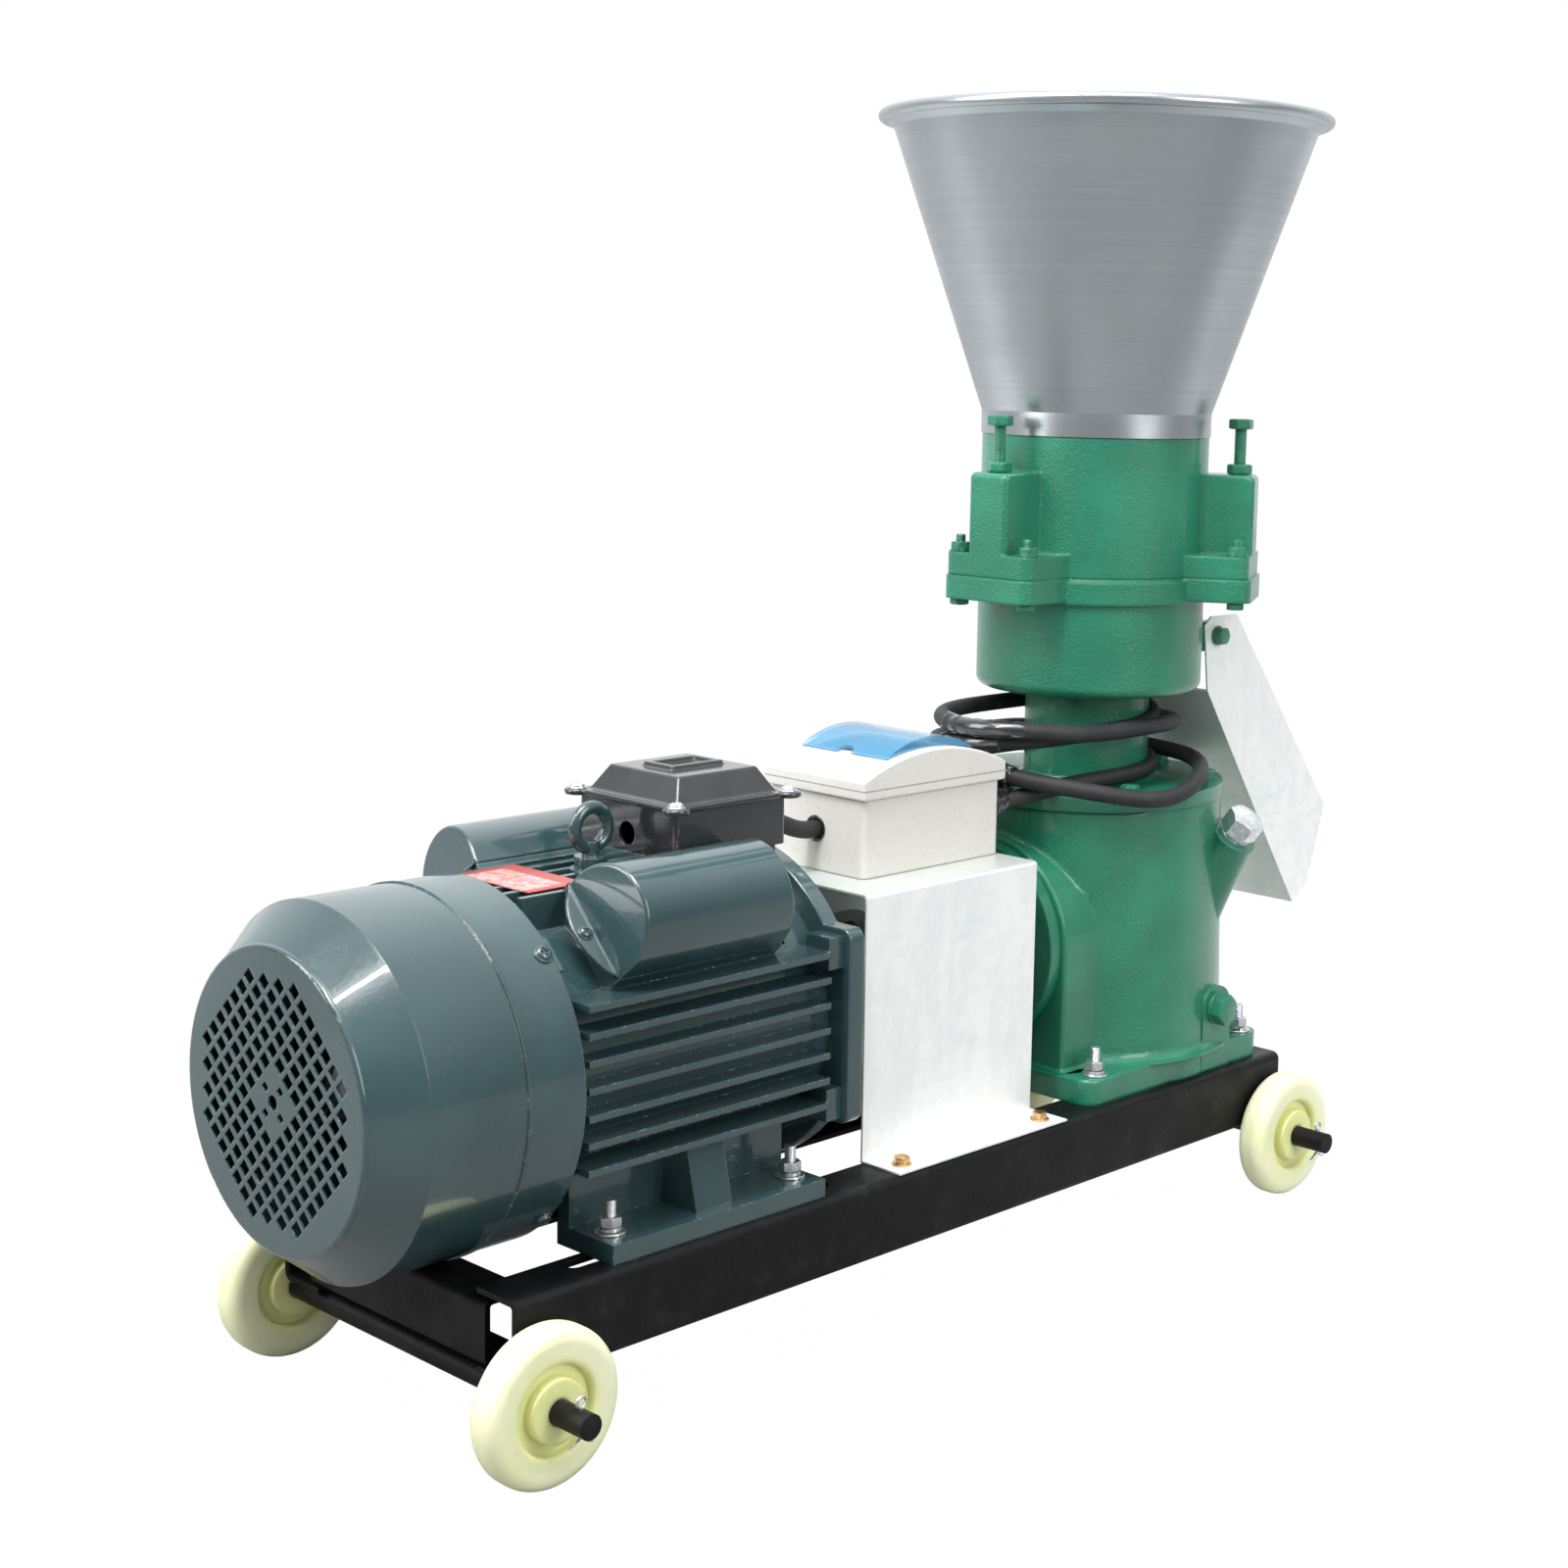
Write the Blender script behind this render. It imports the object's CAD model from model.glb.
# A small flat-die pellet mill, as photographed from its motor end.
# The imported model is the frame; this script gives it its finishes, its cables and its small fittings.
import math

import bmesh
import bpy
from mathutils import Matrix, Vector


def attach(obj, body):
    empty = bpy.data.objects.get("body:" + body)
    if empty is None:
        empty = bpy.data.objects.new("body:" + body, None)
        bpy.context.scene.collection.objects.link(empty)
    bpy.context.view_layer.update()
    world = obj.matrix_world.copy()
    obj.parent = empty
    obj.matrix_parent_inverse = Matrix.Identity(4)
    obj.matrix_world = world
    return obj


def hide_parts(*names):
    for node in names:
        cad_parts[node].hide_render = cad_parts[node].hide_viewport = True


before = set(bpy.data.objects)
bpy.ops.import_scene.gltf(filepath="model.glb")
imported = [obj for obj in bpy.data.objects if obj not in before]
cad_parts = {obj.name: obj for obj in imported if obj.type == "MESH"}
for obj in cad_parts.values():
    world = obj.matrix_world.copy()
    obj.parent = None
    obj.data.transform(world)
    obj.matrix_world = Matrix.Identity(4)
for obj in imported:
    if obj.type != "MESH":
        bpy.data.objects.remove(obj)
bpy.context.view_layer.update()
print("frame loaded:", len(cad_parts), "nodes")

# Where the model's forms stand: the mill's axis in metres, heights over the floor in mm
millX = 0.2529
heights = {
    "axle": 50,
    "deck": 112,
    "shaft": 224,
    "guardTop": 302.2,
    "cover": 340,
    "boxJoint": 366.4,
    "terminalLid": 376,
    "barrelFoot": 412,
    "barrelJoint": 505,
    "arm": 530.3,
    "earTop": 585,
}


# Camera: standing near the motor's corner, a little above the gearbox
camera = {
    "place": (-1.2695, -1.2316, 0.6685),
    "yaw": 47.1,
    "pitch": 7.6,
    "roll": -1.3,
    "lens": 56.17,
    "shift": (-0.0874, -0.0622),
}


def placeCamera():
    yaw, pitch, roll = (math.radians(camera[k]) for k in ("yaw", "pitch", "roll"))
    ahead = Vector((math.cos(pitch) * math.sin(yaw), math.cos(pitch) * math.cos(yaw), -math.sin(pitch)))
    right = Vector((math.cos(yaw), -math.sin(yaw), 0))
    down = ahead.cross(right)
    across = math.cos(roll) * right + math.sin(roll) * down
    up = math.sin(roll) * right - math.cos(roll) * down
    data = bpy.data.cameras.new("camera")
    data.lens = camera["lens"]
    data.sensor_width = 36
    data.shift_x, data.shift_y = camera["shift"]
    eye = bpy.data.objects.new("camera", data)
    turn = Matrix((across, up, -ahead)).transposed().to_4x4()
    eye.matrix_world = Matrix.Translation(camera["place"]) @ turn
    bpy.context.collection.objects.link(eye)
    bpy.context.scene.camera = eye


placeCamera()
print("camera placed")


class Wire:
    # wraps one socket, so that shader maths reads as plain sums
    def __init__(self, paint, socket):
        self.paint, self.socket = paint, socket

    def sum(self, operation, left, right=None):
        values = {0: left} if right is None else {0: left, 1: right}
        return self.paint.node("Math", {"operation": operation}, values)

    def __add__(self, other):
        return self.sum("ADD", self, other)

    def __sub__(self, other):
        return self.sum("SUBTRACT", self, other)

    def __rsub__(self, other):
        return self.sum("SUBTRACT", other, self)

    def __mul__(self, other):
        return self.sum("MULTIPLY", self, other)

    def __pow__(self, other):
        return self.sum("POWER", self, other)

    def __abs__(self):
        return self.sum("ABSOLUTE", self)


class Paint:
    # one material and the nodes it is made of
    def __init__(self, name, block=None):
        self.material = block or bpy.data.materials.new(name)
        self.material.use_nodes = True
        self.tree = self.material.node_tree
        self.tree.nodes.clear()

    def node(self, kind, settings=None, values=None, out=0):
        made = self.tree.nodes.new("ShaderNode" + kind)
        for name, value in (settings or {}).items():
            setattr(made, name, value)
        for name, value in (values or {}).items():
            if isinstance(value, Wire):
                self.tree.links.new(value.socket, made.inputs[name])
            else:
                made.inputs[name].default_value = value
        return Wire(self, made.outputs[out])

    def spot(self):
        return self.node("TexCoord", out="Object")

    def along(self, axis):
        return self.node("SeparateXYZ", None, {0: self.spot()}, axis)

    def stretched(self, scale):
        return self.node("VectorMath", {"operation": "MULTIPLY"}, {0: self.spot(), 1: scale})

    def noise(self, scale, detail=2.0, rough=0.5, where=None):
        values = {"Vector": where or self.spot(), "Scale": scale, "Detail": detail, "Roughness": rough}
        return self.node("TexNoise", None, values)

    def flakes(self, scale):
        cells = self.node("TexVoronoi", {"feature": "F1"}, {"Vector": self.spot(), "Scale": scale}, "Color")
        return self.node("SeparateColor", None, {0: cells}, "Red")

    def between(self, value, low, high, start=0.0, end=1.0):
        values = {"Value": value, "From Min": low, "From Max": high, "To Min": start, "To Max": end}
        return self.node("MapRange", {"interpolation_type": "SMOOTHSTEP"}, values)

    def mix(self, mask, first, second):
        return self.node("Mix", {"data_type": "RGBA"}, {0: mask, 6: colourOf(first), 7: colourOf(second)}, 2)

    def fade(self, value, low, high, first, second):
        return self.mix(self.between(value, low, high), first, second)

    def rounded(self, radius):
        return self.node("Bevel", {"samples": 6}, {"Radius": radius})

    def edges(self, radius, low=0.02, high=0.25):
        true = self.node("NewGeometry", out="Normal")
        match = self.node("VectorMath", {"operation": "DOT_PRODUCT"}, {0: self.rounded(radius), 1: true}, "Value")
        return self.between(1 - match, low, high)

    def bump(self, height, depth, normal=None):
        values = {"Height": height, "Distance": depth, "Strength": 1.0}
        if normal:
            values["Normal"] = normal
        return self.node("Bump", None, values)

    def finish(self, **sockets):
        values = {}
        for name, value in sockets.items():
            plain = isinstance(value, (Wire, float, int))
            values[name.replace("_", " ")] = value if plain else colourOf(value)
        self.close(self.node("BsdfPrincipled", None, values))
        return self.material

    def close(self, shader, kind="OutputMaterial"):
        output = self.tree.nodes.new("ShaderNode" + kind)
        self.tree.links.new(shader.socket, output.inputs["Surface"])


def colourOf(value):
    return value if isinstance(value, Wire) else (*value, 1.0)


def dress(material, *names):
    for name in names:
        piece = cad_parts[name]
        piece.data.materials.clear()
        piece.data.materials.append(material)


# Enamel on the mill's castings: thick green gloss with orange peel
millEnamel = {
    "green": (0.012, 0.205, 0.115),
    "deep": (0.008, 0.15, 0.085),
    "worn": (0.05, 0.33, 0.21),
    "roughness": (0.3, 0.46),
    "peel": 0.00075,
    "corner": 0.0034,
}


def millPaint():
    p = Paint("millPaint")
    peel = p.noise(620, 3, 0.6) * 0.8 + p.noise(330, 2, 0.55) * 0.6
    wear = p.edges(0.0016) * p.between(p.noise(90, 3), 0.42, 0.62)
    base = p.fade(p.noise(14, 3), 0.35, 0.7, millEnamel["deep"], millEnamel["green"])
    return p.finish(Base_Color=p.mix(wear * 0.6, base, millEnamel["worn"]),
                    Roughness=p.between(peel, 0.4, 1.2, *millEnamel["roughness"]),
                    Coat_Weight=0.55, Coat_Roughness=0.08,
                    Normal=p.bump(peel, millEnamel["peel"], p.rounded(millEnamel["corner"])))


# Motor enamel: dark blue-green gloss, chipped to grey along its edges
motorEnamel = {
    "colour": (0.024, 0.055, 0.059),
    "light": (0.034, 0.072, 0.077),
    "chip": (0.42, 0.45, 0.46),
    "roughness": (0.18, 0.28),
    "peel": 0.00017,
    "corner": 0.0018,
}


def motorPaint():
    p = Paint("motorPaint")
    peel = p.noise(300, 2, 0.6) * 0.75 + p.noise(760, 2, 0.6) * 0.25
    chips = p.edges(0.0013, 0.04, 0.35) * p.between(p.noise(150, 4, 0.7), 0.545, 0.62)
    scratch = p.between(p.noise(60, 6, 0.75, p.stretched((1.0, 0.25, 1.6))), 0.735, 0.75)
    base = p.fade(p.noise(9, 3), 0.35, 0.7, motorEnamel["colour"], motorEnamel["light"])
    return p.finish(Base_Color=p.fade(chips + scratch * 0.4, 0.2, 0.8, base, motorEnamel["chip"]),
                    Roughness=p.between(peel, 0.3, 0.75, *motorEnamel["roughness"]),
                    Coat_Weight=0.9, Coat_Roughness=0.04,
                    Normal=p.bump(peel, motorEnamel["peel"], p.rounded(motorEnamel["corner"])))


# Black frame paint: thin satin coat over pressed sheet
framePaint = {"black": (0.0045, 0.0045, 0.005), "dust": (0.04, 0.038, 0.036), "roughness": (0.36, 0.54)}


def blackPaint():
    p = Paint("blackPaint")
    dust = p.between(p.noise(38, 5, 0.6), 0.52, 0.8) * 0.35
    wear = p.edges(0.0012, 0.05, 0.4) * p.between(p.noise(120, 3), 0.5, 0.64)
    return p.finish(Base_Color=p.mix(dust + wear * 0.25, framePaint["black"], framePaint["dust"]),
                    Roughness=p.between(p.noise(25, 3), 0.3, 0.7, *framePaint["roughness"]),
                    Specular_IOR_Level=0.2, Normal=p.bump(p.noise(320, 3), 0.00025, p.rounded(0.0012)))


# Galvanised sheet: faint spangle and a few stains
galvanised = {
    "light": (0.93, 0.94, 0.92),
    "dark": (0.85, 0.87, 0.86),
    "stain": (0.6, 0.66, 0.7),
    "top": (0.5, 0.54, 0.5),
    "roughness": (0.41, 0.33),
    "guardEnd": 0.1,
}


def zincSheet():
    p = Paint("zincSheet")
    streak = p.noise(46, 5, 0.65, p.stretched((1, 1, 0.2)))
    tone = p.flakes(170) * 0.12 + streak * 0.85
    clean = p.fade(tone, 0.35, 0.62, galvanised["dark"], galvanised["light"])
    blot = p.between(p.noise(11, 5, 0.75, p.stretched((1, 1, 1.7))), 0.54, 0.8) * 0.5
    stained = p.mix(blot, clean, galvanised["stain"])
    # the guard's top sheet under the control box is duller than its sides
    end = galvanised["guardEnd"]
    onTop = p.between(abs(p.along("Z") - heights["guardTop"] / 1000), 0.0006, 0.0009, 0.8, 0.0)
    onGuard = p.between(p.along("X"), end, end + 0.01, 1.0, 0.0)
    return p.finish(Base_Color=p.mix(onTop * onGuard, stained, galvanised["top"]), Metallic=0.3,
                    Roughness=p.between(tone, 0.3, 0.75, *galvanised["roughness"]),
                    Normal=p.bump(p.noise(30, 3), 0.0006, p.rounded(0.0008)))


# Spun aluminium hopper: fine rings round the mill's axis, feed dust low down
spunSheet = {
    "light": (0.5, 0.53, 0.55),
    "dark": (0.37, 0.4, 0.42),
    "feed": (0.4, 0.37, 0.3),
    "roughness": (0.43, 0.25),
    "dusty": (0.62, 0.76),
}


def spunAluminium():
    p = Paint("spunAluminium")
    x, y, height = p.along("X") - millX, p.along("Y"), p.along("Z")
    reach = (x * x + y * y) ** 0.5
    ring = p.node("CombineXYZ", None, {"X": reach * 0.35, "Y": height, "Z": 0.0})
    lines = p.noise(2600, 2, 0.6, ring)
    bands = p.noise(300, 3, 0.6, ring)
    tone = lines * 0.45 + bands * 0.3 + p.noise(9, 4, 0.6) * 0.45
    sheet = p.fade(tone, 0.35, 0.85, spunSheet["dark"], spunSheet["light"])
    dust = p.between(p.noise(26, 5, 0.75), 0.55, 0.75) * p.between(height, *spunSheet["dusty"], 0.5, 0.06)
    return p.finish(Base_Color=p.mix(dust, sheet, spunSheet["feed"]), Metallic=0.95,
                    Roughness=p.between(tone, 0.35, 0.85, *spunSheet["roughness"]),
                    Normal=p.bump(lines * 0.6 + bands * 0.25, 0.00007))


# Plated fastenings
def platedSteel(name, colour, dark, roughness=0.25):
    p = Paint(name)
    wear = p.noise(180, 4, 0.6)
    return p.finish(Base_Color=p.fade(wear, 0.35, 0.7, dark, colour), Metallic=0.95,
                    Roughness=p.between(wear, 0.3, 0.7, roughness + 0.14, roughness),
                    Normal=p.bump(p.noise(500, 2), 0.0001, p.rounded(0.0006)))


# Machined or cast steel inside the machine
def bareSteel(name, colour, roughness, grain=160):
    p = Paint(name)
    mottle = p.noise(grain, 4, 0.65)
    dark = tuple(c * 0.7 for c in colour)
    return p.finish(Base_Color=p.fade(mottle, 0.3, 0.75, dark, colour), Metallic=0.9,
                    Roughness=p.between(mottle, 0.3, 0.7, roughness + 0.12, roughness - 0.05),
                    Normal=p.bump(mottle, 0.0002, p.rounded(0.0008)))


# Moulded plastics and rubber
seamShadow = (0.2, 0.19, 0.17)


def moulded(name, first, second, roughness, grain=260, depth=0.00018, edge=0.0012, coat=0.0, seam=None):
    p = Paint(name)
    skin = p.noise(grain, 3, 0.6)
    colour = p.fade(p.noise(24, 3), 0.35, 0.7, first, second)
    if seam:
        # the fine shadow of the joint between the box's lid and its collar
        colour = p.mix(p.between(abs(p.along("Z") - seam), 0.0003, 0.0007, 0.75, 0.0), colour, seamShadow)
    return p.finish(Base_Color=colour, Roughness=p.between(skin, 0.3, 0.7, roughness - 0.05, roughness + 0.08),
                    Coat_Weight=coat, Coat_Roughness=0.1,
                    Normal=p.bump(skin, depth, p.rounded(edge) if edge else None))


# Nylon wheels: waxy cream, yellower round the hub and a little dirty
nylon = {
    "core": (0.78, 0.8, 0.36),
    "cream": (0.8, 0.82, 0.5),
    "pale": (0.84, 0.85, 0.6),
    "dirt": (0.42, 0.4, 0.28),
    "roughness": (0.32, 0.48),
    "betweenAxles": millX - 0.2775,
    "halfBase": 0.3795,
}


def wheelNylon():
    p = Paint("wheelNylon")
    across = abs(p.along("X") - nylon["betweenAxles"]) - nylon["halfBase"]
    above = p.along("Z") - heights["axle"] / 1000
    reach = (across * across + above * above) ** 0.5
    rim = p.fade(p.noise(20, 3), 0.35, 0.7, nylon["cream"], nylon["pale"])
    clean = p.fade(reach, 0.024, 0.038, nylon["core"], rim)
    dirt = p.between(p.noise(110, 5, 0.7), 0.6, 0.78) * 0.35
    return p.finish(Base_Color=p.mix(dirt, clean, nylon["dirt"]),
                    Roughness=p.between(p.noise(60, 3), 0.3, 0.7, *nylon["roughness"]),
                    Subsurface_Weight=0.25, Subsurface_Scale=0.006,
                    Normal=p.bump(p.noise(240, 2), 0.00015, p.rounded(0.0035)))


# Hinged window of the control box: clear blue plastic
window = {"deep": (0.02, 0.25, 0.46), "light": (0.04, 0.31, 0.54), "alpha": 0.46}


def tintedWindow():
    p = Paint("tintedWindow")
    tint = p.fade(p.noise(12, 2), 0.3, 0.7, window["deep"], window["light"])
    return p.finish(Base_Color=tint, Roughness=0.08, Alpha=window["alpha"], Coat_Weight=0.6)


# Rating plate, left bare: a red border round a pale panel
plate = {
    "border": (0.46, 0.055, 0.045),
    "panel": (0.74, 0.42, 0.4),
    "rubbed": (0.6, 0.16, 0.14),
    "middle": -0.3231,
    "half": (0.0165, 0.030),
    "blur": 0.0007,
}


def printedPlate():
    p = Paint("printedPlate")
    wide, high = plate["half"]
    blur = plate["blur"]
    inside = (p.between(abs(p.along("X") - plate["middle"]), wide, wide + blur, 1.0, 0.0)
              * p.between(abs(p.along("Y")), high, high + blur, 1.0, 0.0))
    rub = p.noise(160, 4, 0.7)
    panel = p.fade(rub, 0.4, 0.62, plate["panel"], plate["rubbed"])
    return p.finish(Base_Color=p.mix(inside, plate["border"], panel), Metallic=0.3, Roughness=0.2,
                    Normal=p.bump(rub, 0.0001))


dress(motorPaint(), "motor_frame", "fan_end_shield", "drive_end_shield", "fan_cover", "capacitor_covers",
      "lifting_eye")
dress(millPaint(), "gearbox_housing", "gearbox_cover", "input_bearing_cap", "drain_plug", "mill_bolts",
      "lower_barrel", "upper_barrel", "chute_pivots", "adjusting_bolts")
dress(blackPaint(), "near_rail", "far_rail", "crossmembers", "axles")
dress(zincSheet(), "coupling_guard", "discharge_chute")
dress(spunAluminium(), "hopper")
dress(platedSteel("zincPlate", (0.82, 0.83, 0.84), (0.6, 0.62, 0.64)),
      "cotter_pins", "hold_down_studs", "motor_screws", "oil_filler_cap")
dress(platedSteel("yellowZinc", (0.8, 0.5, 0.2), (0.56, 0.36, 0.18)), "guard_bolts")
dress(bareSteel("turnedSteel", (0.6, 0.61, 0.63), 0.3),
      "rotor", "motor_bearings", "gearbox_bearings", "input_shaft", "main_shaft", "bevel_gear")
dress(bareSteel("dieSteel", (0.5, 0.5, 0.51), 0.36), "pellet_die", "roller_a", "roller_b", "roller_c")
dress(bareSteel("bareCasting", (0.34, 0.35, 0.36), 0.5, 300),
      "motor_coupling_half", "mill_coupling_half", "throw_off_disc", "roller_carrier", "stator_core")
dress(moulded("blackPlastic", (0.014, 0.014, 0.015), (0.024, 0.024, 0.026), 0.2, 500, 0.00006, 0.002, 0.9),
      "terminal_box", "terminal_box_lid", "cooling_fan")
dress(moulded("cableRubber", (0.012, 0.012, 0.013), (0.022, 0.022, 0.023), 0.62, 700, 0.00008, 0.0),
      "motor_lead", "power_cable", "power_plug")
dress(moulded("spiderRubber", (0.5, 0.06, 0.03), (0.42, 0.05, 0.03), 0.45), "coupling_spider")
dress(moulded("capacitorCase", (0.8, 0.8, 0.78), (0.74, 0.74, 0.72), 0.4), "capacitors")
dress(moulded("boxPlastic", (0.66, 0.64, 0.6), (0.69, 0.67, 0.63), 0.3, 300, 0.00002, 0.002,
              seam=heights["boxJoint"] / 1000), "control_box", "control_box_lid")
dress(moulded("breakerCase", (0.72, 0.72, 0.7), (0.66, 0.66, 0.64), 0.4), "circuit_breaker")
dress(moulded("toggleBlue", (0.02, 0.09, 0.2), (0.03, 0.11, 0.24), 0.35), "breaker_toggle")
dress(wheelNylon(), "near_motor_wheel", "far_motor_wheel", "near_mill_wheel", "far_mill_wheel")
dress(tintedWindow(), "control_box_window")
dress(printedPlate(), "rating_plate")
print("finishes on")


# Floor, backdrop and lamps
studio = {
    "size": 8.0,
    "floor": -0.0005,
    "near": (0.25, 0.25, 0.25),
    "far": (0.68, 0.68, 0.68),
    "wall": 0.26,
    "backdrop": 0.95,
    "ceiling": 0.95,
    "sky": (0.95, 0.98, 1.0, 1),
    "white": (1, 1, 1, 1),
}
softboxes = {
    "topSoftbox": ((-0.7, -0.3, 2.4), (0, 0, 0.3), (1.5, 1.1), 33),
    "leftSoftbox": ((-2.0, 0.9, 1.5), (0.1, 0, 0.5), (0.9, 1.8), 37),
    "rightSoftbox": ((0.2, -2.5, 1.5), (0.1, 0, 0.4), (1.0, 1.6), 32),
}
tubes = {"rows": 4, "first": -1.9, "apart": 0.42, "power": 9}


def layFloor(look):
    mesh = bpy.data.meshes.new("floor")
    s, z = studio["size"], studio["floor"]
    mesh.from_pydata([(-s, -s, z), (s, -s, z), (s, s, z), (-s, s, z)], [], [(0, 1, 2, 3)])
    floor = bpy.data.objects.new("floor", mesh)
    bpy.context.collection.objects.link(floor)
    p = Paint("floorPaint")
    # darker on the camera's side, so that glossy faces show some contrast
    away = (p.along("X") - millX) * look.x + p.along("Y") * look.y
    lit = p.node("BsdfDiffuse", None, {"Color": p.fade(away, -0.45, 0.35, studio["near"], studio["far"])})
    # for the camera the floor is as white as the sweep behind it, with a trace of shadow
    white = p.node("Emission", None, {"Color": studio["white"], "Strength": 1.0})
    p.close(p.node("MixShader", None, {0: p.node("LightPath", out="Is Camera Ray") * 0.995, 1: lit, 2: white}))
    mesh.materials.append(p.material)


def hangSky(look):
    world = bpy.data.worlds.new("studio")
    bpy.context.scene.world = world
    p = Paint("studio", world)
    # a bright ceiling and a white backdrop behind the machine, dim walls on the camera's side
    towards = p.node("TexCoord", out="Generated")
    x, y, z = (p.node("SeparateXYZ", None, {0: towards}, k) for k in range(3))
    wall = p.between(x * look.x + y * look.y, -0.1, 0.75, studio["wall"], studio["backdrop"])
    glow = wall + p.between(z, 0.1, 0.85, 0.0, studio["ceiling"] - studio["wall"])
    dim = p.node("Background", None, {0: studio["sky"], 1: glow})
    white = p.node("Background", None, {0: studio["white"], 1: 1.0})
    seen = p.node("LightPath", out="Is Camera Ray")
    p.close(p.node("MixShader", None, {0: seen, 1: dim, 2: white}), "OutputWorld")


def lamp(name, place, target, size, power):
    data = bpy.data.lights.new(name, "AREA")
    data.shape = "RECTANGLE"
    data.size, data.size_y = size
    data.energy = power
    light = bpy.data.objects.new(name, data)
    light.location = place
    light.rotation_euler = (Vector(target) - Vector(place)).to_track_quat("-Z", "Y").to_euler()
    bpy.context.collection.objects.link(light)


lookingWay = bpy.context.scene.camera.matrix_world.to_3x3() @ Vector((0, 0, -1))
layFloor(lookingWay)
hangSky(lookingWay)
for name, softbox in softboxes.items():
    lamp(name, *softbox)
for row in range(tubes["rows"]):
    # rows of ceiling tubes, seen as dashes in the gloss
    place = (tubes["first"] + tubes["apart"] * row, -0.2, 2.2)
    lamp("tube" + str(row), place, (-0.3, -0.1, 0.3), (0.05, 1.3), tubes["power"])
bpy.context.scene.view_settings.view_transform = "Standard"
print("studio lit")


# Power cable: the same winding as the model's, a point every so many degrees. Each row is an angle, the
# middles of its right and left ends, its radius and its height over the gearbox cover, in mm
cable = {
    "radius": 0.0065,
    "every": 15,
    "start": [(-160, -36, -2), (-147, -36, -2), (-128, -40, 1), (-105, -47, 5.5), (-80, -53, 8), (-50, -57, 8.5)],
    "winding": [
        (-90, 0, -93, 57.5, 8.5), (0, 0, -93, 57.5, 17), (90, 0, -93, 57.5, 20), (180, -35, -93, 56, 25),
        (225, -35, -62, 83, 12.5), (270, -35, -35, 119, -3), (285, -33, -35, 118, 8), (300, -24, -93, 110, 12),
        (315, -18, -93, 104, 15), (330, -12, -93, 97, 15), (360, 0, -93, 83, 15), (405, 0, -93, 76, 22),
        (450, 0, -93, 67, 33), (540, 0, -93, 55, 39.5), (630, 0, -93, 57.5, 46), (720, 0, -93, 57.5, 59),
        (810, 0, -93, 57.5, 56), (900, 0, -93, 61, 53), (960, 0, -93, 69, 54), (990, 0, -93, 72, 48),
        (1080, 0, -93, 75, 42), (1110, 2, -93, 84, 34), (1155, 6, -93, 95, 14),
    ],
    "end": [(16, 95.5, 13.5), (2, 95.5, 13.5)],
}


def ease(t):
    return t * t * (3 - 2 * t)


def windingPoint(angle, right):
    rows = cable["winding"]
    i = max(k for k in range(len(rows) - 1) if rows[k][0] <= angle or k == 0)
    a, b = rows[i], rows[i + 1]
    t = ease((angle - a[0]) / (b[0] - a[0]))
    row = [p + t * (q - p) for p, q in zip(a, b)]
    turn = math.radians(angle)
    return (row[1 if right else 2] + row[3] * math.cos(turn), row[3] * math.sin(turn), row[4])


def cablePoints():
    points = list(cable["start"])
    first, last = cable["winding"][0][0], cable["winding"][-1][0]
    for angle in range(first, last + 1, cable["every"]):
        side = round(math.cos(math.radians(angle)), 6)
        if side or angle == first:
            points.append(windingPoint(angle, side > 0 or angle == first))
        else:
            # where right and left meet, the turn crosses from one middle to the other
            ends = [windingPoint(angle, True), windingPoint(angle, False)]
            if math.sin(math.radians(angle)) < 0:
                ends.reverse()
            points += ends if ends[0] != ends[1] else ends[:1]
    points += cable["end"]
    top = heights["cover"] / 1000
    return [Vector((millX + x / 1000, y / 1000, top + z / 1000)) for x, y, z in points]


def smoothLine(points, parts=4):
    # Catmull-Rom through the points
    full = [2 * points[0] - points[1], *points, 2 * points[-1] - points[-2]]
    line = []
    for a, b, c, d in zip(full, full[1:], full[2:], full[3:]):
        for k in range(parts):
            t = k / parts
            line.append(0.5 * (2 * b + (c - a) * t + (2 * a - 5 * b + 4 * c - d) * t * t
                               + (3 * b - a - 3 * c + d) * t ** 3))
    return line + [points[-1]]


def spaced(line, step=0.006):
    even = [line[0]]
    for place in line[1:]:
        while (place - even[-1]).length >= step:
            even.append(even[-1] + step * (place - even[-1]).normalized())
    near = (line[-1] - even[-1]).length <= step / 3
    return (even[:-1] if near else even) + [line[-1]]


def relaxed(line, rounds=26):
    # lets the line take the even bends of a stiff cable, its two ends held
    for turn in range(rounds):
        inner = [(a + b + c) / 3 for a, b, c in zip(line[2:], line[3:-3], line[4:-2])]
        line = line[:3] + inner + line[-3:]
    return line


def tubeAlong(name, line, radius, material):
    curve = bpy.data.curves.new(name, "CURVE")
    curve.dimensions = "3D"
    curve.bevel_depth = radius
    curve.bevel_resolution = 5
    curve.use_fill_caps = True
    spline = curve.splines.new("POLY")
    spline.points.add(len(line) - 1)
    for point, place in zip(spline.points, line):
        point.co = (*place, 1)
    curve.materials.append(material)
    piece = bpy.data.objects.new(name, curve)
    bpy.context.collection.objects.link(piece)
    return piece


def lengthOf(line):
    return sum((b - a).length for a, b in zip(line, line[1:]))


sheath = bpy.data.materials["cableRubber"]
mainsLine = relaxed(spaced(smoothLine(cablePoints())))
mainsCable = tubeAlong("mainsCable", mainsLine, cable["radius"], sheath)
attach(mainsCable, "base")
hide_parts("power_cable")
print("mains cable wound:", round(lengthOf(mainsLine), 3), "m")


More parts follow.
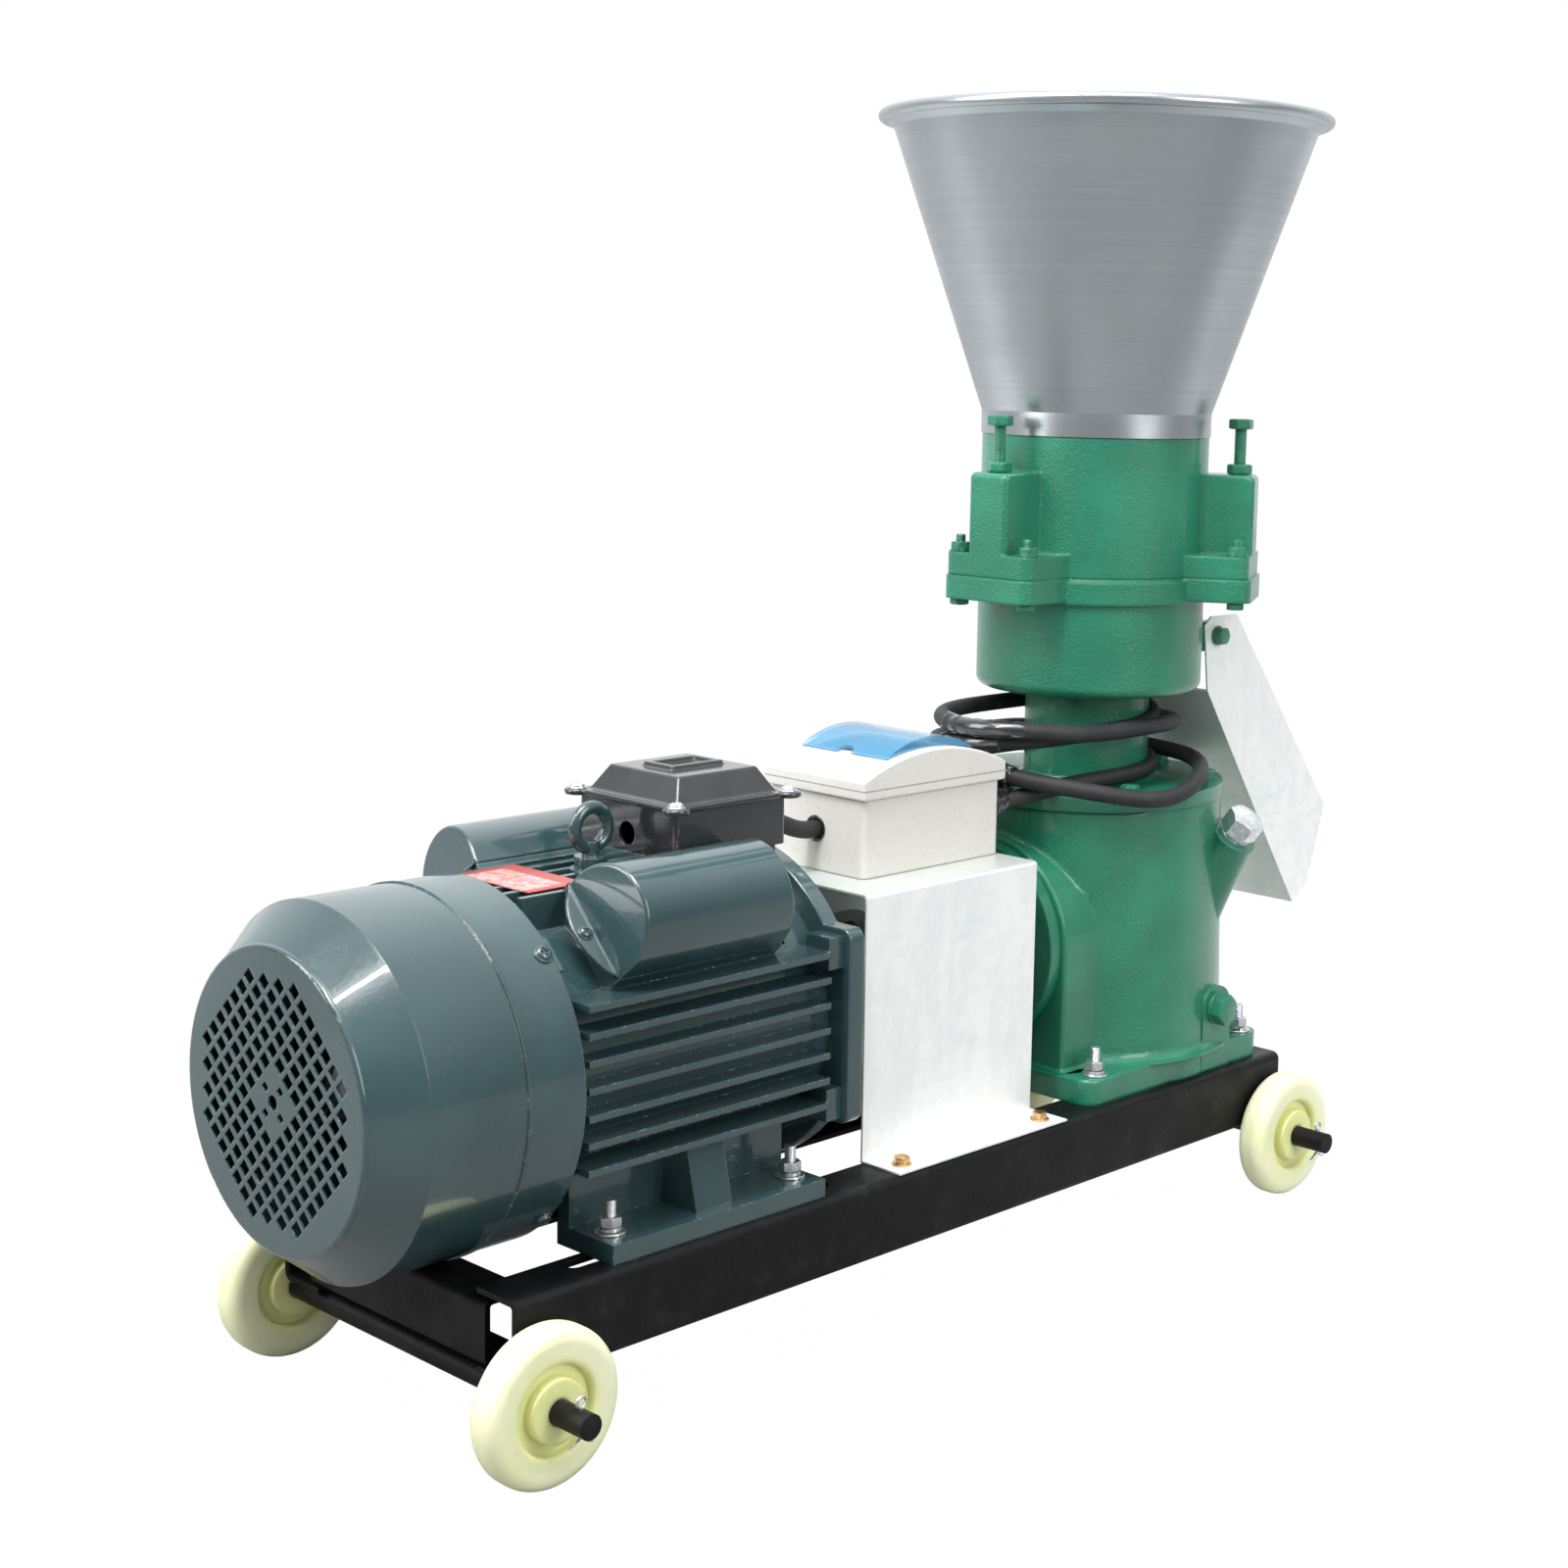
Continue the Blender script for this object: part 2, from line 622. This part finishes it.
# Cast and moulded corners are round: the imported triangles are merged, then the sharp edges bevelled
corners = {
    "capacitor_covers": 0.002,
    "control_box": 0.0015,
    "control_box_lid": 0.0015,
    "terminal_box_lid": 0.0015,
    "drive_end_shield": 0.0015,
}


def soften(name, width):
    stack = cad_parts[name].modifiers
    weld = stack.new("weld", "WELD")
    weld.merge_threshold = 0.00001
    flat = stack.new("flat", "DECIMATE")
    flat.decimate_type = "DISSOLVE"
    flat.angle_limit = math.radians(0.5)
    corner = stack.new("corner", "BEVEL")
    corner.width = width
    corner.segments = 3
    corner.limit_method = "ANGLE"
    corner.angle_limit = math.radians(40)
    corner.use_clamp_overlap = False
    corner.loop_slide = False
    stack.new("shade", "WEIGHTED_NORMAL").keep_sharp = False


for name, width in corners.items():
    soften(name, width)


# Small fittings, made of rings and rods, in mm from the foot of the mill's axis
def spot(x, y, z, *turns):
    place = Matrix.Translation((x, y, z))
    for degrees, axis in turns:
        place = place @ Matrix.Rotation(math.radians(degrees), 4, axis)
    return place


def raised(at, height):
    return at @ Matrix.Translation((0, 0, height))


def around(steps):
    return [2 * math.pi * k / steps for k in range(steps)]


class Fitting:
    # corners closer than this in mm are one, edges bent more than this in radians stay sharp
    merge, sharp = 0.0005, 0.6

    def __init__(self, name, body, finish, slot=None, replaces=()):
        self.name, self.body, self.finish, self.slot, self.replaces = name, body, finish, slot, replaces
        self.mesh = bmesh.new()

    def row(self, at, points):
        return [self.mesh.verts.new(at @ Vector(point)) for point in points]

    def walls(self, rows):
        for low, high in zip(rows, rows[1:]):
            for k in range(len(low)):
                after = (k + 1) % len(low)
                self.mesh.faces.new((low[k], low[after], high[after], high[k]))

    def capped(self, rows):
        self.walls(rows)
        self.mesh.faces.new(rows[0][::-1])
        self.mesh.faces.new(rows[-1])

    def rings(self, at, rings, steps=36, closed=False):
        rows = []
        for ring in rings:
            reach = [(turn, *(ring(turn) if callable(ring) else ring)) for turn in around(steps)]
            rows.append(self.row(at, [(r * math.cos(turn), r * math.sin(turn), z) for turn, r, z in reach]))
        self.walls(rows + rows[:1] if closed else rows)

    def hexagon(self, at, across, height, bore=0.0, base=0.0):
        # the corners are cut back by a shallow cone, as a turned hexagon's are
        crown, top = across * 0.475, base + height

        def corner(end, sign):
            def point(turn):
                reach = across / 2 / math.cos(turn % (math.pi / 3) - math.pi / 6)
                return reach, end + sign * (reach - crown) * 0.55
            return point
        stack = [(bore, base), (crown, base), corner(base, 1), corner(top, -1), (crown, top)]
        stack += [(bore * 1.12, top), (bore, top - bore * 0.12)] if bore else [(0, top)]
        self.rings(at, stack, 48, bool(bore))

    def washer(self, at, outer, inner, thick, base=0.0):
        edge = thick * 0.2
        self.rings(at, [(inner, base), (outer - edge, base), (outer, base + edge), (outer, base + thick - edge),
                        (outer - edge, base + thick), (inner, base + thick)], 36, True)

    def springWasher(self, at, middle, wide, thick, base=0.0, steps=30):
        # cut at one place and twisted, so that its ends stand apart
        rows = []
        for i in range(steps + 1):
            turn = math.radians(8 + 344 * i / steps)
            lift = base + thick * 0.45 * i / steps
            section = [(middle + out * wide / 2, lift + z) for out, z in ((-1, 0), (1, 0), (1, thick), (-1, thick))]
            rows.append(self.row(at, [(r * math.cos(turn), r * math.sin(turn), z) for r, z in section]))
        self.capped(rows)

    def thread(self, at, radius, low, high, pitch=1.25):
        count = round((high - low) / pitch * 5)
        deep = pitch * 0.5

        def turn(z, cap):
            def point(angle):
                phase = (z / pitch - angle / (2 * math.pi)) % 1
                return min(cap, radius - deep * abs(2 * phase - 1)), z
            return point
        stack = [(0, low)]
        for i in range(count + 1):
            z = low + (high - low) * i / count
            stack.append(turn(z, radius - max(0, 1 - min(high - z, z - low)) * deep * 1.2))
        self.rings(at, stack + [(0, high)], 20)

    def panHead(self, at, radius, height):
        wide, long, deep = radius * 0.16, radius * 0.62, height * 0.55

        def dome(share):
            def point(turn):
                r = share * radius
                x, y = abs(r * math.cos(turn)), abs(r * math.sin(turn))
                sunk = (x < wide and y < long) or (y < wide and x < long)
                return r, height * (1 - 0.45 * share ** 3) - (deep if sunk else 0)
            return point
        domes = [dome(s / 14) for s in range(13, 0, -1)]
        self.rings(at, [(radius, 0), (radius, height * 0.42), *domes, (0, height - deep)], 48)

    def rod(self, path, radius, steps=10):
        # a round wire along points, its rings square to the way
        rows = []
        side = None
        for i, here in enumerate(path):
            way = (path[min(i + 1, len(path) - 1)] - path[max(i - 1, 0)]).normalized()
            if side is None:
                side = way.orthogonal().normalized()
            side = (side - way * side.dot(way)).normalized()
            other = way.cross(side)
            r = radius(i) if callable(radius) else radius
            rows.append([self.mesh.verts.new(here + r * (math.cos(turn) * side + math.sin(turn) * other))
                         for turn in around(steps)])
        self.capped(rows)

    def done(self):
        bmesh.ops.remove_doubles(self.mesh, verts=self.mesh.verts, dist=self.merge)
        bmesh.ops.recalc_face_normals(self.mesh, faces=self.mesh.faces)
        for face in self.mesh.faces:
            face.smooth = True
        for edge in self.mesh.edges:
            edge.smooth = len(edge.link_faces) == 2 and edge.calc_face_angle() < self.sharp
        data = bpy.data.meshes.new(self.name)
        self.mesh.transform(Matrix.Translation((millX, 0, 0)) @ Matrix.Scale(0.001, 4))
        self.mesh.to_mesh(data)
        self.mesh.free()
        data.materials.append(bpy.data.materials[self.finish])
        piece = bpy.data.objects.new(self.name, data)
        bpy.context.collection.objects.link(piece)
        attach(piece, self.body)
        if self.replaces:
            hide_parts(*self.replaces)
        return piece


# Castings rounded at some of their sharp corners, and the coves and boss cast on them, in mm
drum = {"foot": 116, "taper": 6, "low": 112, "high": 328, "plate": 132}
neck = {"inner": 49, "start": 49.8}
filler = {"foot": (54, -90, 272), "lean": 38, "mouth": 31, "seat": 34}
boss = {"rim": 18.6, "wide": 24, "taper": 6, "middle": 276, "high": 22, "tail": 30}
earBlock = {"reach": 112, "above": 522, "middle": 525}
inputSide = {"before": -20, "above": 113, "middle": -45}


def drumRadius(z):
    return drum["foot"] - drum["taper"] * (z - drum["low"]) / (drum["high"] - drum["low"])


def makeCasting(name, node, radius, chosen):
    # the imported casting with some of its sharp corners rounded
    f = Fitting(name, "base", "millPaint", "mill_paint", (node,))
    f.mesh.from_mesh(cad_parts[node].data)
    f.mesh.transform(Matrix.Scale(1000, 4) @ Matrix.Translation((-millX, 0, 0)))
    bmesh.ops.remove_doubles(f.mesh, verts=f.mesh.verts, dist=0.01)
    bmesh.ops.dissolve_limit(f.mesh, angle_limit=math.radians(0.5), verts=f.mesh.verts, edges=f.mesh.edges)
    bends = [e for e in f.mesh.edges if len(e.link_faces) == 2 and e.calc_face_angle() > 1 and chosen(e)]
    bmesh.ops.bevel(f.mesh, geom=bends, offset=radius, segments=5, profile=0.5, affect="EDGES")
    f.done().modifiers.new("shade", "WEIGHTED_NORMAL").keep_sharp = True


def onEarBlock(edge):
    # outer corners only, since the rollers' arms slide inside the blocks
    a, b = (v.co for v in edge.verts)
    outside = all(math.hypot(v.x, v.y) > earBlock["reach"] and v.z > earBlock["above"] for v in (a, b))
    return edge.is_convex and outside and a.z + b.z > 2 * earBlock["middle"]


def onInputSide(edge):
    a, b = (v.co for v in edge.verts)
    outside = all(v.x < inputSide["before"] and v.z > inputSide["above"] for v in (a, b))
    return outside and a.x + b.x < 2 * inputSide["middle"]


def addCove(f, z, inner, start, wide, top, sink, steps, sign=1):
    # a quarter-round fillet, spreading out at its foot, or at its top where the sign is -1
    bends = [math.radians(a) for a in range(0, 91, 15)]
    sweep = [(start + wide * (1 - math.cos(b)), sign * wide * (1 - math.sin(b))) for b in bends]
    f.rings(spot(0, 0, z), [(inner[0], -sign * sink), (inner[0], sign * top), *sweep, (inner[1], -sign * sink)],
            steps, True)


def addFillerBoss(f, steps=48):
    # the filler's boss runs down the drum as a teardrop
    lean = spot(*filler["foot"], (filler["lean"], "X"))
    up, mouth = lean.to_3x3() @ Vector((0, 0, 1)), lean @ Vector((0, 0, filler["mouth"]))
    across = Vector((1, 0, 0))
    other = up.cross(across)
    rows = []
    for share in (0, 0.12, 0.3, 0.5, 0.7, 0.85, 1.0, 1.08):
        row = []
        for turn in around(steps):
            lower = max(0, -math.sin(turn))
            rim = mouth + boss["rim"] * (math.cos(turn) * across + math.sin(turn) * other)
            foot = Vector((filler["foot"][0] + (boss["wide"] - boss["taper"] * lower) * math.cos(turn), 0,
                           boss["middle"] + boss["high"] * math.sin(turn) - boss["tail"] * lower))
            reach = drumRadius(foot.z) - 1.5
            foot.y = -math.sqrt(max(1, reach * reach - foot.x * foot.x))
            point = rim.lerp(foot, min(share, 1) ** 1.25)
            if share > 1:
                point.y += 4
            row.append(f.mesh.verts.new(point))
        rows.append(row)
    f.capped(rows)


def makeCastFillets():
    f = Fitting("castFillets", "base", "millPaint", "mill_paint")
    # the drum's foot sweeps out into the base plate
    radius = drumRadius(drum["plate"])
    addCove(f, drum["plate"], (radius - 3, radius + 9), radius - 0.4, 9, 9, 2, 96)
    # neck root on the cover, and the neck's top under the barrel
    addCove(f, heights["cover"], (neck["inner"], neck["inner"] + 7), neck["start"], 7, 8, 1, 72)
    addCove(f, heights["barrelFoot"], (neck["inner"], neck["inner"] + 5), neck["start"], 5, 6, 1, 72, -1)
    addFillerBoss(f)
    f.done()


# Fastenings: nuts and bolt heads by their width across flats, and where each set sits
flats = {"M6": 10, "M8": 13, "M10": 17}
holdDown = {"motor": ((-574.8, -419.6), 97, 125), "mill": ((-103, 82), 102, 132), "flange": 4}
guardBolts = {"xs": (-322, -174), "y": 108, "z": 113.5}
fanScrews = {"x": -617, "reach": 117.5}
padScrews = {"x": -570, "aside": 10.6, "reach": 111.7, "along": (-6, 146)}
lidScrews = {"x": -432, "half": 50.5}
coverBolts = {"turns": (0, 60, 120, 180, 240, 306), "reach": 98}
capBolts = {"x": -130, "reach": 61}
ears = {"turns": (180, -60, 60), "bolts": (119, 34), "screw": 115}
chutePivot = {"x": 82, "y": 66.5, "z": 453}
drain = (34, -115, 162)
axles = {"xs": (-657, 102), "pin": 170.5}
quarters = (45, 135, 225, 315)
sides = (-1, 1)


def makeStuds():
    f = Fitting("studsAndNuts", "base", "zincPlate", "zinc", ("hold_down_studs",))
    places = [(x, s * y, z) for xs, y, z in (holdDown["motor"], holdDown["mill"]) for x in xs for s in sides]
    for number, (x, y, z) in enumerate(places):
        at = spot(x, y, z, (37 * number, "Z"))
        under = heights["deck"] - holdDown["flange"] - z
        f.washer(at, 10, 4.4, 1.6)
        f.springWasher(at, 5.9, 3.0, 2.0, 1.6)
        f.hexagon(at, flats["M8"], 6.6, 3.6, 4.5)
        f.thread(at, 4, under - 10, 21.6)
        f.hexagon(at, flats["M8"], 6.6, 3.6, under - 6.8)
    f.done()


def makeGuardBolts():
    f = Fitting("yellowBolts", "base", "yellowZinc", "yellow_zinc", ("guard_bolts",))
    for number, (x, s) in enumerate((x, s) for x in guardBolts["xs"] for s in sides):
        at = spot(x, s * guardBolts["y"], guardBolts["z"], (23 * number, "Z"))
        f.washer(at, 7, 3.2, 1.2)
        f.washer(at, 5.6, 2.8, 0.7, 1.2)
        f.hexagon(at, flats["M6"], 4, 0, 1.9)
        f.thread(at, 3, -12.5, 0.5, 1.0)
        f.hexagon(at, flats["M6"], 4, 2.7, -9.6)
    f.done()


def makeScrews():
    # round the fan cover, on the capacitor covers and on the terminal box's lid
    f = Fitting("paintedScrews", "base", "motorPaint", "motor_paint", ("motor_screws",))
    for turn in quarters:
        at = spot(fanScrews["x"], 0, heights["shaft"], (90, "Y"), (turn, "Z"))
        at = at @ spot(fanScrews["reach"], 0, 0, (90, "Y"))
        f.washer(at, 6.6, 2, 0.9)
        f.panHead(raised(at, 0.9), 5, 2.8)
    for s in sides:
        pad = spot(padScrews["x"], 0, heights["shaft"], (s * 45, "X"))
        pad = pad @ Matrix.Translation((0, s * padScrews["aside"], padScrews["reach"]))
        for x in padScrews["along"]:
            f.washer(pad @ Matrix.Translation((x, 0, 2)), 5.4, 2, 0.7)
            f.panHead(pad @ spot(x, 0, 2.6, (30, "Z")), 4, 2.4)
    f.done()
    f = Fitting("lidScrews", "base", "zincPlate", "zinc")
    for i in sides:
        for j in sides:
            x, y = lidScrews["x"] + i * lidScrews["half"], j * lidScrews["half"]
            at = spot(x, y, heights["terminalLid"], (20 * i + 31 * j, "Z"))
            f.washer(at, 6.4, 2, 0.8)
            f.panHead(raised(at, 0.8), 5, 2.8)
    f.done()


def makeMillBolts():
    # round the gearbox cover, the input bearing's cap and the barrel's joint, and a lock nut on every ear
    f = Fitting("greenBolts", "base", "millPaint", "mill_paint", ("mill_bolts",))
    for turn in coverBolts["turns"]:
        at = spot(0, 0, heights["cover"], (turn, "Z")) @ spot(coverBolts["reach"], 0, 0, (turn * 0.3, "Z"))
        f.washer(at, 8.4, 2, 1.4)
        f.hexagon(at, flats["M8"], 6.2, 0, 1.3)
    for turn in quarters:
        at = spot(capBolts["x"], 0, heights["shaft"], (90, "Y"), (turn, "Z"))
        at = at @ spot(capBolts["reach"], 0, 0, (180, "X"), (turn * 0.7, "Z"))
        f.washer(at, 8.2, 2, 1.2)
        f.hexagon(at, flats["M8"], 4.6, 0, 1.1)
    out, aside = ears["bolts"]
    for ear in ears["turns"]:
        for s in sides:
            at = spot(0, 0, heights["barrelJoint"], (ear, "Z")) @ spot(out, s * aside, 0, (ear * 0.2 + s * 11, "Z"))
            f.hexagon(at, flats["M8"], 5.5, 0, -23.5)
            f.thread(at, 4, -18.5, 31)
            f.washer(at, 8.2, 3.6, 1.4, 18)
            f.hexagon(at, flats["M8"], 6, 3.6, 19.3)
        at = spot(0, 0, heights["earTop"], (ear, "Z")) @ Matrix.Translation((ears["screw"], 0, 0))
        f.hexagon(at, flats["M10"], 8, 4.7)
    f.done()
    f = Fitting("liftScrews", "roller_head", "millPaint", "mill_paint", ("adjusting_bolts",))
    for ear in ears["turns"]:
        at = spot(0, 0, heights["arm"] + 8, (ear, "Z")) @ spot(ears["screw"], 0, 0, (19, "Z"))
        f.thread(at, 5, 0, 82.5, 1.5)
        f.hexagon(at, flats["M10"], 8, 0, 82)
    f.done()


def makePivots():
    f = Fitting("chuteBolts", "base", "millPaint", "mill_paint", ("chute_pivots",))
    for s in sides:
        at = spot(chutePivot["x"], s * chutePivot["y"], chutePivot["z"], (-s * 90, "X"))
        f.rings(at, [(0, -21.5), (4, -21.5), (4, 0.4), (0, 0.4)], 24)
        f.washer(at, 8, 3.8, 1.6, 0.4)
        f.hexagon(at, flats["M8"], 6.2, 0, 2.0)
    f.done()


def makePlugs():
    # the oil filler's cap and the drain plug
    f = Fitting("fillerPlug", "base", "zincPlate", "bright_plug", ("oil_filler_cap",))
    at = raised(spot(*filler["foot"], (filler["lean"], "X")), filler["seat"])
    f.rings(at, [(0, -14), (10.8, -14), (10.8, 0), (12.6, 0), (12.6, 1.4), (11.5, 2), (11.5, 4), (0, 4)], 40)
    f.hexagon(at, 27, 17, 0, 4)
    f.done()
    f = Fitting("drainHead", "base", "millPaint", "mill_paint", ("drain_plug",))
    at = spot(*drain, (90, "X"), (14, "Z"))
    f.rings(at, [(0, -14), (7.9, -14), (7.9, 0), (13, 0), (13, 1.5), (12.4, 2), (0, 2)], 36)
    f.hexagon(at, 22, 10, 0, 1.9)
    f.done()


def makeCotters():
    # through each axle's ends: two legs from an eye above, spread below
    f = Fitting("cotterWires", "base", "zincPlate", "zinc", ("cotter_pins",))
    bends = (0.55, 1.1, 1.6, 2.1, 2.6, 3.14)
    shank = [(0.8, z) for z in (9, 4, 0, -6, -9)] + [(3.0, -10.8), (6.2, -12.8), (9, -13.4)]
    eye = [(3.4 * math.sin(a), 12.6 - 3.4 * math.cos(a)) for a in bends]
    for x in axles["xs"]:
        for s in sides:
            for leg in sides:
                wire = [Vector((x + leg * out, s * axles["pin"], heights["axle"] + z)) for out, z in eye[::-1] + shank]
                f.rod(smoothLine(wire), 0.95, 8)
    f.done()


makeCasting("upperCasting", "upper_barrel", 5, onEarBlock)
makeCasting("gearboxCasting", "gearbox_housing", 3, onInputSide)
makeCastFillets()
makeStuds()
makeGuardBolts()
makeScrews()
makeMillBolts()
makePivots()
makePlugs()
makeCotters()
print("fittings made")


# Motor lead: a short lead from the terminal box into the control box, its ends straight for a little way
lead = {"radius": 0.0064, "ends": ((-384, 352), (-302, 333)), "flat": 9, "glands": (-382.5, -305)}


def leadLine(parts=36):
    (x0, z0), (x1, z1) = lead["ends"]
    flat = lead["flat"]
    points = [Vector((x0, 0, z0))]
    for i in range(parts + 1):
        t = i / parts
        points.append(Vector((x0 + flat + t * (x1 - x0 - 2 * flat), 0, z0 + ease(t) * (z1 - z0))))
    points.append(Vector((x1, 0, z1)))
    return points


def makeLead():
    places = [Vector((millX + p.x / 1000, p.y / 1000, p.z / 1000)) for p in leadLine()]
    tube = tubeAlong("motorCable", places, lead["radius"], sheath)
    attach(tube, "base")
    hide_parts("motor_lead")
    round(lengthOf(places), 3)
    print("motor lead:", round(lengthOf(places), 3), "m")


# Glands of the lead, and the mains cable's collar and ribbed sleeve at the control box
def makeGlands(sleeveEnd=-131):
    f = Fitting("glands", "base", "blackPlastic", "black_plastic")
    (x0, x1), (z0, z1) = lead["glands"], (z for x, z in lead["ends"])
    f.rings(spot(x0, 0, z0, (90, "Y")), [(6.4, -1), (10, -1), (10, 1.6), (9.2, 2.4), (7.6, 2.8), (6.4, 3)], 36, True)
    f.rings(spot(x1, 0, z1, (-90, "Y")),
            [(6.3, -0.5), (9.8, -0.5), (9.8, 0.5), (9.2, 0.9), (8.4, 0.4), (7.6, 0.2), (6.3, -0.3)], 36, True)
    line = [Vector(((p.x - millX) * 1000, p.y * 1000, p.z * 1000)) for p in mainsLine]
    short = [p for p in line if p.x < sleeveEnd]
    far = (short[-1] - short[0]).length

    def ribs(i):
        along = (short[i] - short[0]).length / far
        return 9.4 - 2.3 * along - (0.7 if i % 2 else 0)
    x, y, z = cable["start"][0]
    collar = [(6.4, 0), (12, 0), (12, 2.4), (11, 3.4), (6.4, 3.4)]
    f.rings(spot(x, y, heights["cover"] + z, (90, "Y")), collar, 36, True)
    f.rod(short, ribs, 24)
    f.done()


# Moulded two-pin plug on the cable's far end
plug = {
    "neck": [(0, 0), (7.2, 0), (7.2, 2), (6.4, 2.4), (6.4, 3.4), (7.8, 3.8), (7.8, 6), (6.9, 6.4), (6.9, 7.4),
             (8.6, 8), (8.6, 10)],
    "ovals": [(9.5, 12, 0.05), (12.3, 16, 0.2), (13, 22, 0.28), (12.2, 28, 0.3), (12.9, 34, 0.22), (13, 39, 0.16),
              (12, 40, 0.16)],
    "end": (0, 40),
    "pins": 9.5,
}


def makePlug():
    f = Fitting("mouldedPlug", "base", "cableRubber", "cable_rubber", ("power_plug",))
    x, y, z = cable["end"][-1]
    at = spot(x, y, heights["cover"] + z, (-90, "Y"))

    def oval(r, z, flat):
        return lambda turn: (r * (1 - flat * abs(math.cos(turn)) ** 1.5), z)
    f.rings(at, [*plug["neck"], *(oval(*ring) for ring in plug["ovals"]), plug["end"]], 40)
    body = f.done()
    f = Fitting("plugPins", "base", "zincPlate", "zinc")
    for s in sides:
        pin = at @ Matrix.Translation((0, s * plug["pins"], 0))
        f.rings(pin, [(0, 39), (2.4, 39), (2.4, 57), (2.1, 58.2), (1.2, 59), (0, 59)], 20)
    return [body, f.done()]


plugPieces = makePlug()
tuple(mainsLine[0])
round(lengthOf(mainsLine), 3)
makeLead()
makeGlands()
print("cords and plug made")


print("size written")
